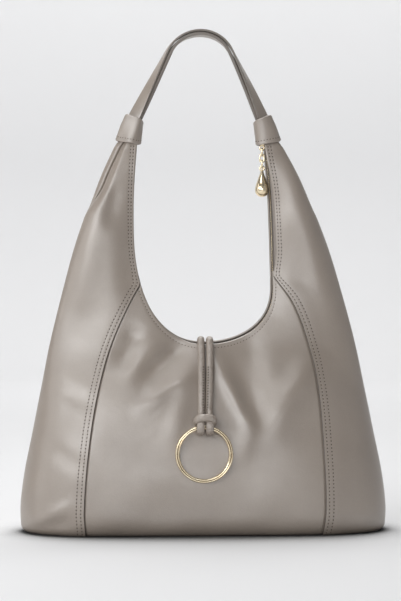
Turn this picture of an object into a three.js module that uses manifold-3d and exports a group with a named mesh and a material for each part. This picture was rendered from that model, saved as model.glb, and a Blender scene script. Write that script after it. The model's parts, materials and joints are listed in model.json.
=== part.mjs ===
// Scoop-topped leather tote with a shoulder strap, a hitched cord and a hanging ring.
// Sizes are millimetres. X runs to the right seen from the front, -Y is the front, Z is up,
// and the origin is the middle of the base on the floor.
import * as THREE from "three";
import { mergeVertices } from "three/addons/utils/BufferGeometryUtils.js";
import Module from "manifold-3d";

const wasm = await Module();
wasm.setup();

// Leather and seams
const leather = 1.8;
const seamGap = 0.5;
const foot = { height: 20, front: 10, sideHeight: 7, side: 7 };

// Body sections: the rear edge of each side stands halfWidth from the middle, the front wall
// halfDepth before the middle plane, and squareness sets how boxy the plan is.
const sections = [
  { height: 0, halfWidth: 187, halfDepth: 64, squareness: 5 },
  { height: 26, halfWidth: 188, halfDepth: 65, squareness: 5 },
  { height: 60, halfWidth: 184, halfDepth: 64, squareness: 4.6 },
  { height: 100, halfWidth: 176, halfDepth: 58.5, squareness: 4 },
  { height: 145, halfWidth: 167, halfDepth: 47, squareness: 3.5 },
  { height: 192, halfWidth: 157.5, halfDepth: 28, squareness: 3.2 },
  { height: 243, halfWidth: 144.5, halfDepth: 23.5, squareness: 3.4 },
  { height: 292, halfWidth: 130.5, halfDepth: 21.5, squareness: 4.5 },
  { height: 342, halfWidth: 112, halfDepth: 18, squareness: 8 },
  { height: 366, halfWidth: 102, halfDepth: 14.5, squareness: 12 },
  { height: 388, halfWidth: 90.8, halfDepth: 9.5, squareness: 20 },
  { height: 396, halfWidth: 86.4, halfDepth: 6.7, squareness: 25 },
  { height: 399.5, halfWidth: 83, halfDepth: 6.2, squareness: 26 },
  { height: 403, halfWidth: 80.9, halfDepth: 6.2, squareness: 26 },
  { height: 412, halfWidth: 77.6, halfDepth: 6.2, squareness: 26 },
];

// Scooped rim: a quarter ellipse on each side, lower and fuller on the right, then nearly upright
const scoop = { bottom: 192, squareness: 2.2 };
const scoopLeft = { widest: 303, halfWidth: 70.6 };
const scoopRight = { widest: 250, halfWidth: 72.4 };
const neck = { height: 397, rimLeft: 64.6, rimRight: 69 };
const rimTuck = { depth: 7, reach: 24, fadeFrom: 330, fadeTo: 392 };

// The front rim of the right side is cut back a little, so that the zip shows behind it
const cutBack = { amount: 6, from: 252, to: 288, easeFrom: 338, easeTo: 398 };

// Seams between the centre panels and the side panels, measured out from the middle
const seams = [
  { height: 0, left: 121.8, right: 116.6 },
  { height: 26, left: 123.6, right: 119.6 },
  { height: 85, left: 119, right: 118.4 },
  { height: 140, left: 110, right: 115.2 },
  { height: 190, left: 96, right: 107.4 },
  { height: 235, left: 75.5, right: 91.5 },
  { height: 268, left: 55, right: 67.5 },
];

// Folds on the front: each runs between two points of the wall, negative rise for a valley
const folds = [
  { fromX: 12, fromZ: 178, toX: 38, toZ: 112, width: 6, rise: 3.2 },
  { fromX: 18, fromZ: 186, toX: 50, toZ: 116, width: 8, rise: -3.4 },
  { fromX: 64, fromZ: 164, toX: 30, toZ: 84, width: 13, rise: 3 },
  { fromX: -24, fromZ: 190, toX: -74, toZ: 160, width: 9, rise: -3.2 },
  { fromX: -22, fromZ: 172, toX: -68, toZ: 134, width: 9, rise: 2.6 },
  { fromX: -16, fromZ: 160, toX: -38, toZ: 94, width: 9, rise: 2 },
  { fromX: -88, fromZ: 345, toX: -106, toZ: 300, width: 14, rise: -3 },
  { fromX: -178, fromZ: 12, toX: -142, toZ: 30, width: 8, rise: 3 },
];

// Where a fold swells and dies out, in shares of its length, and the wall depth that takes it whole
const foldEnds = { rise: -0.3, full: 0.25, ease: 0.6, end: 1.35, wholeDepth: 20 };

// Pleat up each side of the neck: the front edge is tucked in on the left, the rear on the right
const pleat = { tuck: 8, valley: 3, from: 322, to: 356, closeFrom: 385, closeTo: 402 };
const pleatRound = { behind: -0.2, ridge: 0.32, spread: 0.8, groove: 0.1 };

// The soft top leans to the left by this much at neck height
const lean = { amount: 5.4, height: 397 };

// Collars: lower and upper edges, tilted in the front view
const collarEdges = [
  { halfX: 72.1, height: 398.5, halfWidth: 13, halfDepth: 9.7, tilt: 10 },
  { halfX: 69, height: 413, halfWidth: 11.8, halfDepth: 9.6, tilt: 16 },
  { halfX: 66.3, height: 423.5, halfWidth: 10.1, halfDepth: 9.6, tilt: 21 },
];
const collarSides = 24;
const collarRound = 0.6;

// Strap: two straight legs and a round top, with its face turned to the front by a few degrees
const strap = { width: 14, outer: 2.2, inner: 3.1, gap: 0.85, ease: 0.8, turnPower: 1.5 };
const arch = { apex: 511.5, legLean: 27, bend: 33.5, foot: 418.5 };
const strapTurn = { left: 66, apex: -4, right: 50 };

// Zip tapes inside the mouth, and the pull below the right collar
const tape = { width: 7.5, thickness: 1, inset: 1.2, gap: 0.95, top: 402, start: 0.5, reach: 0.97 };
const tapeEnd = { narrowing: 0.6, from: 345 };
const pull = { x: 60.2, firstLink: 389.1, wire: 1.8, linkHeight: 8.3, linkWidth: 4.4, eye: 2.3 };
const slider = { width: 8, depth: 4, height: 9, fromEye: 2 };
const linkPlay = 0.3;

// Drop of the pull: a pear turned about its upright axis, measured down from its eye
const dropProfile = [
  { below: 29.6, radius: 0 },
  { below: 29, radius: 3 },
  { below: 27.2, radius: 5.4 },
  { below: 24.4, radius: 6.9 },
  { below: 21, radius: 7.1 },
  { below: 17, radius: 6.2 },
  { below: 12.4, radius: 4.6 },
  { below: 8, radius: 3 },
  { below: 4.6, radius: 1.9 },
  { below: 2, radius: 1.1 },
  { below: 2, radius: 0 },
];

// Ring, cord and hitch
const ring = { outer: 57.7, wire: 4.2 };
const cord = { diameter: 6.6, hitch: 5.2, spacing: 9.2, clear: 0.9, insideTop: 180, insideEnd: 166 };
const cordRise = [124, 136, 148, 160, 172, 181];
const cordCrown = { belowRim: 1.5, lift: 1.6 };
const hitch = { height: 108.9, above: 0.7, standOff: 9.2, drift: -3.4 };

// Hitch route for one side, from the middle of the front bight round the back of the ring wire,
// under it and up its front, measured from the hinge line.
const hitchRoute = [
  { across: 0, forward: 6.5, up: 10.4 },
  { across: 4.4, forward: 6.3, up: 10.3 },
  { across: 8.8, forward: 3.6, up: 9.4 },
  { across: 10.4, forward: -0.8, up: 7.6 },
  { across: 9.2, forward: -4.6, up: 4.8 },
  { across: 6, forward: -5.9, up: 2 },
  { across: 4.9, forward: -5.1, up: -3 },
  { across: 4.9, forward: 0, up: -5.9 },
  { across: 4.9, forward: 5.1, up: -3 },
  { across: 4.9, forward: 5.6, up: 1.8 },
  { across: 4.8, forward: 3.2, up: 5.6 },
  { across: 4.7, forward: -0.8, up: 10 },
];

const taupe = { color: 0x8f857c, roughness: 0.55, metalness: 0 };
const tapeFinish = { color: 0x6f665f, roughness: 0.8, metalness: 0 };
const gold = { color: 0xd8b98a, roughness: 0.25, metalness: 1 };

// Interpolation and small helpers

const degrees = (angle) => (angle * Math.PI) / 180;
const point = (x, y, z) => new THREE.Vector3(x, y, z);
const range = (count) => Array.from({ length: count + 1 }, (unused, i) => i / count);
const between = THREE.MathUtils.lerp;
const smooth = THREE.MathUtils.smoothstep;

// A table column at a height, joined smoothly through its rows
function column(rows, name, height) {
  const at = rows.map((row) => row.height);
  const values = rows.map((row) => row[name]);
  const last = rows.length - 1;
  const slope = (i) => {
    const a = Math.max(i - 1, 0);
    const b = Math.min(i + 1, last);
    return (values[b] - values[a]) / (at[b] - at[a]);
  };
  let i = 0;
  while (i < last - 1 && height > at[i + 1]) i += 1;
  const step = at[i + 1] - at[i];
  const t = (height - at[i]) / step;
  const rise = values[i + 1] - values[i];
  const curve = values[i] + rise * t * t * (3 - 2 * t);
  const start = slope(i) * step * t * (1 - t) * (1 - t);
  return curve + start - slope(i + 1) * step * t * t * (1 - t);
}

// A closed geometry whose faces point outwards
function closedGeometry(points, index) {
  let volume = 0;
  for (let i = 0; i < index.length; i += 3) {
    const [a, b, c] = index.slice(i, i + 3).map((k) => points[k]);
    volume += a.dot(b.clone().cross(c));
  }
  const faces = volume < 0 ? index.toReversed() : index;
  return mergeVertices(new THREE.BufferGeometry().setFromPoints(points).setIndex(faces), 1e-4);
}

// A solid through a row of closed rings: joined end to end, or capped by a fan or by a strip
function loft(rings, ends) {
  const count = rings[0].length;
  const index = [];
  const joined = ends === "joined" ? rings.length : rings.length - 1;
  for (let r = 0; r < joined; r += 1) {
    const a = r * count;
    const b = ((r + 1) % rings.length) * count;
    for (let i = 0; i < count; i += 1) {
      const j = (i + 1) % count;
      index.push(a + i, a + j, b + j, a + i, b + j, b + i);
    }
  }
  const top = (rings.length - 1) * count;
  if (ends === "fan") {
    for (let i = 1; i < count - 1; i += 1) {
      index.push(0, i + 1, i, top, top + i, top + i + 1);
    }
  }
  if (ends === "strip") {
    for (let i = 0; i < count / 2 - 1; i += 1) {
      const [p, q, r, s] = [i, i + 1, count - 2 - i, count - 1 - i];
      index.push(p, r, q, p, s, r);
      index.push(top + p, top + q, top + r, top + p, top + r, top + s);
    }
  }
  return closedGeometry(rings.flat(), index);
}

// Booleans on closed geometries
function solid(geometry) {
  const bare = geometry.clone();
  bare.deleteAttribute("normal");
  bare.deleteAttribute("uv");
  const merged = mergeVertices(bare, 1e-4);
  const vertProperties = new Float32Array(merged.attributes.position.array);
  const triVerts = new Uint32Array(merged.index.array);
  return new wasm.Manifold(new wasm.Mesh({ numProp: 3, vertProperties, triVerts }));
}

function geometryOf(manifold) {
  const { vertProperties, triVerts } = manifold.getMesh();
  const geometry = new THREE.BufferGeometry();
  geometry.setAttribute("position", new THREE.BufferAttribute(vertProperties, 3));
  return geometry.setIndex(new THREE.BufferAttribute(triVerts, 1));
}

// Body surface

function footInset(z, height, reach) {
  return z < height ? reach * (1 - Math.sqrt(1 - (1 - z / height) ** 2)) : 0;
}

const halfWidthAt = (z) => column(sections, "halfWidth", z) - footInset(z, foot.sideHeight, foot.side);
const halfDepthAt = (z) => column(sections, "halfDepth", z) - footInset(z, foot.height, foot.front);
const leanAt = (z) => -lean.amount * Math.min(z / lean.height, 1) ** 3;

// Rim half width at a height, and how far a point of the wall lies outside the rim (1 is on it)
function rimAt(z, side) {
  const { widest, halfWidth } = side < 0 ? scoopLeft : scoopRight;
  if (z >= widest) {
    const up = (z - widest) / (neck.height - widest);
    return between(halfWidth, side < 0 ? neck.rimLeft : neck.rimRight, up * up);
  }
  const drop = (widest - z) / (widest - scoop.bottom);
  return drop >= 1 ? 0 : halfWidth * (1 - drop ** scoop.squareness) ** (1 / scoop.squareness);
}

function rimLevel(x, z) {
  const { widest, halfWidth } = x < 0 ? scoopLeft : scoopRight;
  if (z >= widest) return Math.abs(x) / rimAt(z, x);
  const drop = (widest - z) / (widest - scoop.bottom);
  const out = Math.abs(x) / halfWidth;
  return (out ** scoop.squareness + drop ** scoop.squareness) ** (1 / scoop.squareness);
}

// About how far a point of the wall lies outside the rim
function fromRim(x, z) {
  const { widest } = x < 0 ? scoopLeft : scoopRight;
  return (rimLevel(x, z) - 1) * (widest - scoop.bottom);
}

const seamAt = (z, side) => column(seams, side < 0 ? "left" : "right", z);

// Height where a rising line of the wall, a share of the way out to the seam, meets the rim
const rimSearch = { below: 5, above: 91 };
function rimHeight(share) {
  let low = scoop.bottom - rimSearch.below;
  let high = scoop.bottom + rimSearch.above;
  for (let i = 0; i < 50; i += 1) {
    const z = (low + high) / 2;
    if (rimLevel(share * seamAt(z, share), z) > 1) low = z;
    else high = z;
  }
  return low;
}

// Height of all folds of the front wall at a point
function foldRise(x, z) {
  return folds.reduce((sum, fold) => {
    const alongX = fold.toX - fold.fromX;
    const alongZ = fold.toZ - fold.fromZ;
    const length = Math.hypot(alongX, alongZ);
    const along = ((x - fold.fromX) * alongX + (z - fold.fromZ) * alongZ) / length ** 2;
    const off = ((x - fold.fromX) * alongZ - (z - fold.fromZ) * alongX) / length;
    const fading = 1 - smooth(along, foldEnds.ease, foldEnds.end);
    const taper = smooth(along, foldEnds.rise, foldEnds.full) * fading;
    return sum + fold.rise * taper * Math.exp(-((off / fold.width) ** 2));
  }, 0);
}

// How far the wall stands from the middle plane; share is the distance out to the side edge
function wallDepth(x, z, share, front) {
  const power = column(sections, "squareness", z);
  const edge = Math.sqrt(Math.max(1 - Math.min(share, 1) ** power, 0));
  const plain = halfDepthAt(z) * edge;
  const fade = 1 - smooth(z, rimTuck.fadeFrom, rimTuck.fadeTo);
  const tuck = rimTuck.depth * fade * Math.exp(-fromRim(x, z) / rimTuck.reach);
  const foldShare = front ? Math.min(plain / foldEnds.wholeDepth, 1) * smooth(z, 0, foot.height) : 0;
  return plain - tuck * edge + foldRise(x, z) * foldShare;
}

const frontWall = (x, z) => {
  const y = -wallDepth(x, z, Math.abs(x) / halfWidthAt(z), true);
  return point(x + leanAt(z), y, z);
};

// A point of the centre panels: across from seam to seam (-1 to 1), up from foot to rim (0 to 1)
function centrePoint(across, up, front) {
  const z = rowHeight(up, rimHeight(across));
  const x = across * (seamAt(z, across) - seamGap / 2);
  const depth = wallDepth(x, z, Math.abs(x) / halfWidthAt(z), front);
  return point(x + leanAt(z), front ? -depth : depth, z);
}

// Rows go round the foot by angle, then evenly up to the top
const footShare = 0.25;
function rowHeight(up, top) {
  if (up <= footShare) return foot.height * (1 - Math.cos((up / footShare) * degrees(90)));
  return between(foot.height, top, (up - footShare) / (1 - footShare));
}

// A point of a side panel: round from the front edge to the rear edge (-1 to 1), at a height
function sidePoint(side, round, z) {
  const halfWidth = halfWidthAt(z);
  const rim = rimAt(z, side);
  const seamed = z < seams.at(-1).height;
  const front = round < 0;
  const shown = smooth(z, cutBack.from, cutBack.to) * (1 - smooth(z, cutBack.easeFrom, cutBack.easeTo));
  const edge = seamed ? Math.max(seamAt(z, side) + seamGap / 2, rim) : rim;
  const inner = edge + (side > 0 && front ? cutBack.amount * shown : 0);
  const share = 1 - (1 - inner / halfWidth) * round * round;
  const depth = wallDepth(side * share * halfWidth, z, share, front);
  const fromTucked = side < 0 ? -round : round;
  const ahead = 1 - smooth(fromTucked, pleatRound.ridge, pleatRound.spread);
  const tucked = smooth(fromTucked, pleatRound.behind, 0) * ahead;
  const closing = 1 - smooth(z, pleat.closeFrom, pleat.closeTo);
  const amount = smooth(z, pleat.from, pleat.to) * closing;
  const groove = pleat.valley * Math.exp(-((fromTucked / pleatRound.groove) ** 2));
  const x = share * halfWidth - amount * (pleat.tuck * tucked + groove);
  return point(side * x + leanAt(z), front ? -depth : depth, z);
}

// A leather wall from its outer surface: the inner surface lies one thickness in
function wallFrom(surface, acrossValues, upValues, thickness = leather, start = 0) {
  const small = 1e-5;
  const [a0, a1] = [acrossValues[0], acrossValues.at(-1)];
  const [u0, u1] = [upValues[0], upValues.at(-1)];
  const rows = upValues.map((up) => {
    const outer = [];
    const inner = [];
    for (const across of acrossValues) {
      const sideways = surface(Math.min(across + small, a1), up);
      sideways.sub(surface(Math.max(across - small, a0), up));
      const upwards = surface(across, Math.min(up + small * (u1 - u0), u1));
      upwards.sub(surface(across, Math.max(up - small * (u1 - u0), u0)));
      const inwards = upwards.cross(sideways).normalize();
      const place = surface(across, up);
      outer.push(place.clone().addScaledVector(inwards, start));
      inner.unshift(place.clone().addScaledVector(inwards, start + thickness));
    }
    return [...outer, ...inner];
  });
  return loft(rows, "strip");
}

const frontColumns = range(24).map((t) => 2 * t - 1);
const backColumns = range(18).map((t) => 2 * t - 1);
const centreRows = [...range(3).map((t) => t * footShare)];
centreRows.push(...range(9).slice(1).map((t) => between(footShare, 1, 1 - (1 - t) ** 1.4)));

const roundSteps = [0.08, 0.18, 0.3, 0.45, 0.6, 0.74, 0.85, 0.93, 1];
const sideColumns = [...roundSteps.toReversed().map((t) => -t), 0, ...roundSteps];

const neckRows = [272, 292, 312, 328, 342, 356, 370, 382, 392, 399.5, 408];

function sideRows(side) {
  const seamTop = rimHeight(side);
  const lower = centreRows.map((up) => rowHeight(up, seamTop));
  return [...lower, ...neckRows];
}

const frontSurface = (across, up) => centrePoint(across, up, true);
const backSurface = (across, up) => centrePoint(-across, up, false);
const frontPanel = wallFrom(frontSurface, frontColumns, centreRows);
const backPanel = wallFrom(backSurface, backColumns, centreRows);

function sidePanel(side) {
  const surface = (round, z) => sidePoint(side, side < 0 ? -round : round, z);
  return wallFrom(surface, sideColumns, sideRows(side));
}

// Base: the plan of the walls at the floor, drawn in by the seam gap
function basePanel() {
  const rounds = [0.05, 0.14, 0.26, 0.4, 0.56, 0.74, 0.9];
  const reachX = halfWidthAt(0);
  const reachY = halfDepthAt(0);
  const edge = (facing) => {
    const left = rounds.map((round) => sidePoint(-1, facing * round, 0));
    const right = rounds.toReversed().map((round) => sidePoint(1, facing * round, 0));
    const middle = range(12).map((t) => centrePoint(2 * t - 1, 0, facing < 0));
    return [...left, ...middle, ...right];
  };
  const plan = [...edge(-1), ...edge(1).toReversed()];
  const drawnIn = (z) =>
    plan.map((p) => point(p.x * (1 - seamGap / reachX), p.y * (1 - seamGap / reachY), z));
  return loft([drawnIn(0), drawnIn(leather)], "strip");
}

// Right collar: tilted rounded rings, outside then inside

function collar() {
  const ringAt = (edge, inset) =>
    range(collarSides)
      .slice(1)
      .map((t) => {
        const angle = t * degrees(360);
        const soften = (v) => Math.sign(v) * Math.abs(v) ** collarRound;
        const across = (edge.halfWidth - inset) * soften(Math.cos(angle));
        const tilt = degrees(edge.tilt);
        const x = edge.halfX + across * Math.cos(tilt);
        const y = (edge.halfDepth - inset) * soften(Math.sin(angle));
        return point(x, y, edge.height + across * Math.sin(tilt));
      });
  const outside = collarEdges.map((edge) => ringAt(edge, 0));
  const inside = collarEdges.toReversed().map((edge) => ringAt(edge, leather));
  return loft([...outside, ...inside], "joined");
}

// Strap: arc length from the left foot to the right foot

const legTurn = degrees(arch.legLean);
const bendCentre = arch.apex - arch.bend;
const bendStart = bendCentre + arch.bend * Math.sin(legTurn);
const bendHalfX = arch.bend * Math.cos(legTurn);
const legLength = (bendStart - arch.foot) / Math.cos(legTurn);
const bendLength = arch.bend * degrees(180 - 2 * arch.legLean);
const strapLength = 2 * legLength + bendLength;

// Place and outward direction of the strap's middle line at a distance along it
function strapPlace(distance) {
  const half = distance > strapLength / 2 ? 1 : -1;
  const fromFoot = Math.min(distance, strapLength - distance);
  if (fromFoot < legLength) {
    const left = legLength - fromFoot;
    const x = half * (bendHalfX + left * Math.sin(legTurn));
    const z = bendStart - left * Math.cos(legTurn);
    return { at: point(x, 0, z), out: point(half * Math.cos(legTurn), 0, Math.sin(legTurn)) };
  }
  const angle = legTurn + (fromFoot - legLength) / arch.bend;
  const out = point(half * Math.cos(angle), 0, Math.sin(angle));
  return { at: out.clone().multiplyScalar(arch.bend).add(point(0, 0, bendCentre)), out };
}

function strapLayer(low, high) {
  const legSteps = range(10).map((t) => t * legLength);
  const bendSteps = range(10).slice(1, -1).map((t) => legLength + t * bendLength);
  const farSteps = legSteps.toReversed().map((d) => strapLength - d);
  const rings = [...legSteps, ...bendSteps, ...farSteps].map((distance) => {
    const { at, out } = strapPlace(distance);
    const share = distance / strapLength;
    const end = share < 0.5 ? strapTurn.left : strapTurn.right;
    const turn = degrees(between(strapTurn.apex, end, Math.abs(2 * share - 1) ** strap.turnPower));
    const face = out.clone().multiplyScalar(Math.cos(turn)).add(point(0, -Math.sin(turn), 0));
    const along = point(out.z, 0, -out.x);
    const across = along.clone().cross(face).normalize();
    const half = strap.width / 2;
    const ease = strap.ease;
    const outline = [
      [-half, low + ease],
      [-half + ease, low],
      [half - ease, low],
      [half, low + ease],
      [half, high - ease],
      [half - ease, high],
      [-half + ease, high],
      [-half, high - ease],
    ];
    return outline.map(([w, h]) => at.clone().addScaledVector(across, w).addScaledVector(face, h));
  });
  return loft(rings, "fan");
}

const strapMiddle = (strap.inner - strap.outer) / 2;
const innerFace = strapMiddle - strap.gap / 2;
const outerFace = strapMiddle + strap.gap / 2;
const strapInner = strapLayer(innerFace - strap.inner, innerFace);
const strapOuter = strapLayer(outerFace, outerFace + strap.outer);

// Zip tapes: strips that follow the rim along the inner face of the walls

function rimWalk(steps) {
  const arm = range(steps).slice(1);
  const rise = (t) => between(scoop.bottom + tape.start, tape.top, t ** 2);
  const left = arm.toReversed().map((t) => point(-rimAt(rise(t), -1), 0, rise(t)));
  const right = arm.map((t) => point(rimAt(rise(t), 1), 0, rise(t)));
  return [...left, point(0, 0, scoop.bottom), ...right];
}

function zipTape(front) {
  const walk = rimWalk(18);
  const curve = new THREE.CatmullRomCurve3(walk, false, "centripetal");
  const surface = (across, up) => {
    const at = curve.getPoint(across);
    const along = curve.getTangent(across);
    const narrowing = 1 - tapeEnd.narrowing * smooth(at.z, tapeEnd.from, tape.top);
    const inset = tape.inset + up * tape.width * narrowing;
    const x = at.x + along.z * inset;
    const z = at.z - along.x * inset;
    const share = Math.min(Math.abs(x) / halfWidthAt(z), tape.reach);
    const depth = wallDepth(x, z, share, front);
    return point(x + leanAt(z), front ? -depth : depth, z);
  };
  const turned = front ? (a, u) => surface(a, 1 - u) : surface;
  return wallFrom(turned, range(36), [0, 0.5, 1], tape.thickness, leather + tape.gap);
}

// Cord: over the rim, down the front and round the ring wire

// Outward direction of the front wall
function frontNormal(x, z) {
  const step = 0.5;
  const acrossSlope = frontWall(x + step, z).sub(frontWall(x - step, z));
  const upSlope = frontWall(x, z + step).sub(frontWall(x, z - step));
  return acrossSlope.cross(upSlope).normalize();
}

const onFront = (x, z, out) => frontWall(x, z).addScaledVector(frontNormal(x, z), out);
const hingeDepth = wallDepth(0, hitch.height, 0, true) + hitch.standOff;
const hinge = point(leanAt(hitch.height) + hitch.drift, -hingeDepth, hitch.height);

function cordSide(side) {
  const x = (side * cord.spacing) / 2;
  const outside = cord.diameter / 2 + cord.clear;
  const wall = leather + tape.gap + tape.thickness;
  const inside = -wall - outside;
  const knot = hitchRoute.map(({ across, forward, up }) => ({
    at: hinge.clone().add(point(side * across, -forward, up)),
    radius: cord.hitch / 2,
  }));
  const rise = cordRise.map((z) => {
    const hung = (scoop.bottom - z) / (scoop.bottom - hitch.height);
    return { at: onFront(x + hitch.drift * hung, z, outside), radius: cord.diameter / 2 };
  });
  const rim = scoop.bottom - cordCrown.belowRim;
  const normal = frontNormal(x, rim);
  const upwards = point(1, 0, 0).cross(normal).negate();
  const crown = (outside + inside) / 2;
  const bend = (outside - inside) / 2;
  const over = [0, 45, 90, 135, 180].map((angle) => {
    const at = onFront(x, rim, crown + bend * Math.cos(degrees(angle)));
    at.addScaledVector(upwards, bend * Math.sin(degrees(angle)) + cordCrown.lift);
    return { at, radius: cord.diameter / 2 };
  });
  const down = [cord.insideTop, cord.insideEnd].map((z) => {
    return { at: onFront(x, z, inside), radius: cord.diameter / 2 };
  });
  return [...knot, ...rise, ...over, ...down];
}

function cordLoop() {
  const sides = 8;
  const route = [...cordSide(-1).slice(1).toReversed(), ...cordSide(1)];
  const curve = new THREE.CatmullRomCurve3(route.map((stop) => stop.at), false, "centripetal");
  const steps = (route.length - 1) * 2;
  const tangents = range(steps).map((t) => curve.getTangent(t));
  let across = point(1, 0, 0).cross(tangents[0]).normalize();
  const rings = tangents.map((tangent, i) => {
    across = across.clone().addScaledVector(tangent, -across.dot(tangent)).normalize();
    const other = tangent.clone().cross(across);
    const stop = Math.min(Math.floor(i / 2), route.length - 2);
    const radius = between(route[stop].radius, route[stop + 1].radius, i / 2 - stop);
    const centre = curve.getPoint(i / steps);
    return range(sides)
      .slice(1)
      .map((t) => {
        const angle = t * degrees(360);
        const p = centre.clone().addScaledVector(across, radius * Math.cos(angle));
        return p.addScaledVector(other, radius * Math.sin(angle));
      });
  });
  return loft(rings, "fan");
}

// Round wire bent into an upright oval that faces the front
function wireOval(halfWidth, halfHeight, wire, steps, sides) {
  const straight = halfHeight - halfWidth;
  const rings = range(steps)
    .slice(1)
    .map((t) => {
      const angle = t * degrees(360);
      const out = point(Math.cos(angle), 0, Math.sin(angle));
      const at = out.clone().multiplyScalar(halfWidth);
      at.z += t > 0.5 && t < 1 ? -straight : straight;
      return range(sides)
        .slice(1)
        .map((s) => {
          const turn = s * degrees(360);
          const p = at.clone().addScaledVector(out, (wire / 2) * Math.cos(turn));
          p.y += (wire / 2) * Math.sin(turn);
          return p;
        });
    });
  return loft(rings, "joined");
}

// Ring: hangs from the hinge line and leans its lower edge on the front wall
const ringMiddle = (ring.outer - ring.wire) / 2;
const ringDrop = ringMiddle - hitch.above;
const ringFoot = wallDepth(0, hinge.z - ringDrop - ringMiddle, 0, true) + ring.wire / 2 + seamGap;
const ringTilt = Math.asin((ringFoot - hingeDepth) / (ringDrop + ringMiddle));
const ringCentre = point(0, -Math.sin(ringTilt), -Math.cos(ringTilt)).multiplyScalar(ringDrop).add(hinge);

// Zip pull: slider with an eye, three links and a drop with an eye
const linkPitch = pull.linkHeight - pull.wire - linkPlay;
const eyeFromLink = pull.linkHeight / 2 + pull.eye - pull.wire - linkPlay;

const pullLink = () => wireOval(pull.linkWidth / 2, pull.linkHeight / 2, pull.wire, 14, 6);
const pullEye = () => solid(wireOval(pull.eye, pull.eye, pull.wire, 12, 6));

function zipSlider() {
  const body = new THREE.BoxGeometry(slider.width, slider.depth, slider.height);
  body.translate(slider.width / 4, 0, slider.fromEye + slider.height / 2);
  return geometryOf(solid(body).add(pullEye()));
}

function pullDrop() {
  const profile = dropProfile.map(({ below, radius }) => new THREE.Vector2(radius, -below));
  const pear = new THREE.LatheGeometry(profile, 14).rotateX(degrees(90));
  return geometryOf(solid(pear).add(pullEye()));
}

// Assembly

function piece(name, geometry, finish) {
  const mesh = new THREE.Mesh(geometry, new THREE.MeshStandardMaterial(finish));
  mesh.name = name;
  return mesh;
}

function groupOf(name, ...members) {
  const group = new THREE.Group().add(...members);
  group.name = name;
  return group;
}

const body = groupOf(
  "body",
  piece("front_panel", frontPanel, taupe),
  piece("back_panel", backPanel, taupe),
  piece("side_panel_left", sidePanel(-1), taupe),
  piece("side_panel_right", sidePanel(1), taupe),
  piece("base_panel", basePanel(), taupe),
);

const collarLeft = piece("collar_left", collar(), taupe);
collarLeft.scale.x = -1;
const handle = groupOf(
  "handle",
  collarLeft,
  piece("collar_right", collar(), taupe),
  piece("strap_outer", strapOuter, taupe),
  piece("strap_inner", strapInner, taupe),
);
handle.position.x = -lean.amount;

const sliderPiece = piece("zip_slider", zipSlider(), gold);
sliderPiece.position.z = eyeFromLink;
const links = [1, 2, 3].map((n) => {
  const link = piece("pull_link_" + n, pullLink(), gold);
  link.position.z = (1 - n) * linkPitch;
  link.rotation.z = n === 2 ? 0 : degrees(90);
  return link;
});
const dropPiece = piece("pull_drop", pullDrop(), gold);
dropPiece.position.z = links.at(-1).position.z - eyeFromLink;
const zipPull = groupOf("zip_pull", sliderPiece, ...links, dropPiece);
zipPull.position.set(pull.x, 0, pull.firstLink);

const zip = groupOf(
  "zip",
  piece("zip_tape_front", zipTape(true), tapeFinish),
  piece("zip_tape_back", zipTape(false), tapeFinish),
  zipPull,
);

const ringPiece = piece("ring", new THREE.TorusGeometry(ringMiddle, ring.wire / 2, 8, 40), gold);
ringPiece.position.copy(ringCentre);
ringPiece.rotation.x = degrees(90) - ringTilt;
const ornament = groupOf("ornament", piece("cord_loop", cordLoop(), taupe), ringPiece);

export default groupOf("scoop_tote", body, handle, zip, ornament);
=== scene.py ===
import json
import math
import bmesh
import bpy
import numpy as np
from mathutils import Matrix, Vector


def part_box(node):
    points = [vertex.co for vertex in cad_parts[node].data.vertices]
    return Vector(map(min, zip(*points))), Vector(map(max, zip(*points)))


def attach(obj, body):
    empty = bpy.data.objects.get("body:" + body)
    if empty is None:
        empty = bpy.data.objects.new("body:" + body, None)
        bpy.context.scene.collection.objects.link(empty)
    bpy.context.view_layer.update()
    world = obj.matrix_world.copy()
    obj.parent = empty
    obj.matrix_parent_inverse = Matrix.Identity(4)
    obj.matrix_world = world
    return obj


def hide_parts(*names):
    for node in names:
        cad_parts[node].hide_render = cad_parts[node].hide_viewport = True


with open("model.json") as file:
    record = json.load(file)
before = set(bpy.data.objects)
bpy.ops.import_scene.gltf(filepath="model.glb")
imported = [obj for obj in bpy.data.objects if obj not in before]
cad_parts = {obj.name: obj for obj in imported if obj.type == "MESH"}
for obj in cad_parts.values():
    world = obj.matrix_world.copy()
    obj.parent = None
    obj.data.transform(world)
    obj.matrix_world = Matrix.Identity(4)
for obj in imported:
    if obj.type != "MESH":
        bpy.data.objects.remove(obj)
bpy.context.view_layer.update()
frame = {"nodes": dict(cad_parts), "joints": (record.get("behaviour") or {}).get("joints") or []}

scene = bpy.context.scene
xAxis, yAxis, zAxis = np.eye(3)
mm = 0.001
print("frame loaded:", len(frame["nodes"]), "nodes")


# camera and studio

view = {
    "distance": 2.0,  # from the bag's middle to the lens
    "turn": -3.5,  # degrees round to the left
    "height": 0.236,  # lens height, looking level
    "sideStep": -0.0033,  # framing, a little to the left
    "lens": 116.3,
    "sensor": 36.0,
}

studio = {
    "floor": (0.76, 0.76, 0.765),
    "paperTone": 0.985,  # how much darker the paper is in places
    "paperScale": 3.0,
    "rough": 0.85,
    "floorRings": (0.05, 0.3, 0.6, 0.9),
    "bendStart": 3.7,  # where the round floor begins to rise
    "bendRadius": 0.7,
    "bendSteps": 16,
    "wallTop": 3.0,
    "sides": 128,
    "paintedContactShadow": (0.06, 0.06, 0.06),  # painted contact shadow: the floor's colour darkened close under the bag
    "paintedShadowReach": 0.09, "paintedShadowOpen": (0.50, 0.80),
    "ambient": (0.97, 0.98, 1.0),
    "ambientPower": 0.12,
}

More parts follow.
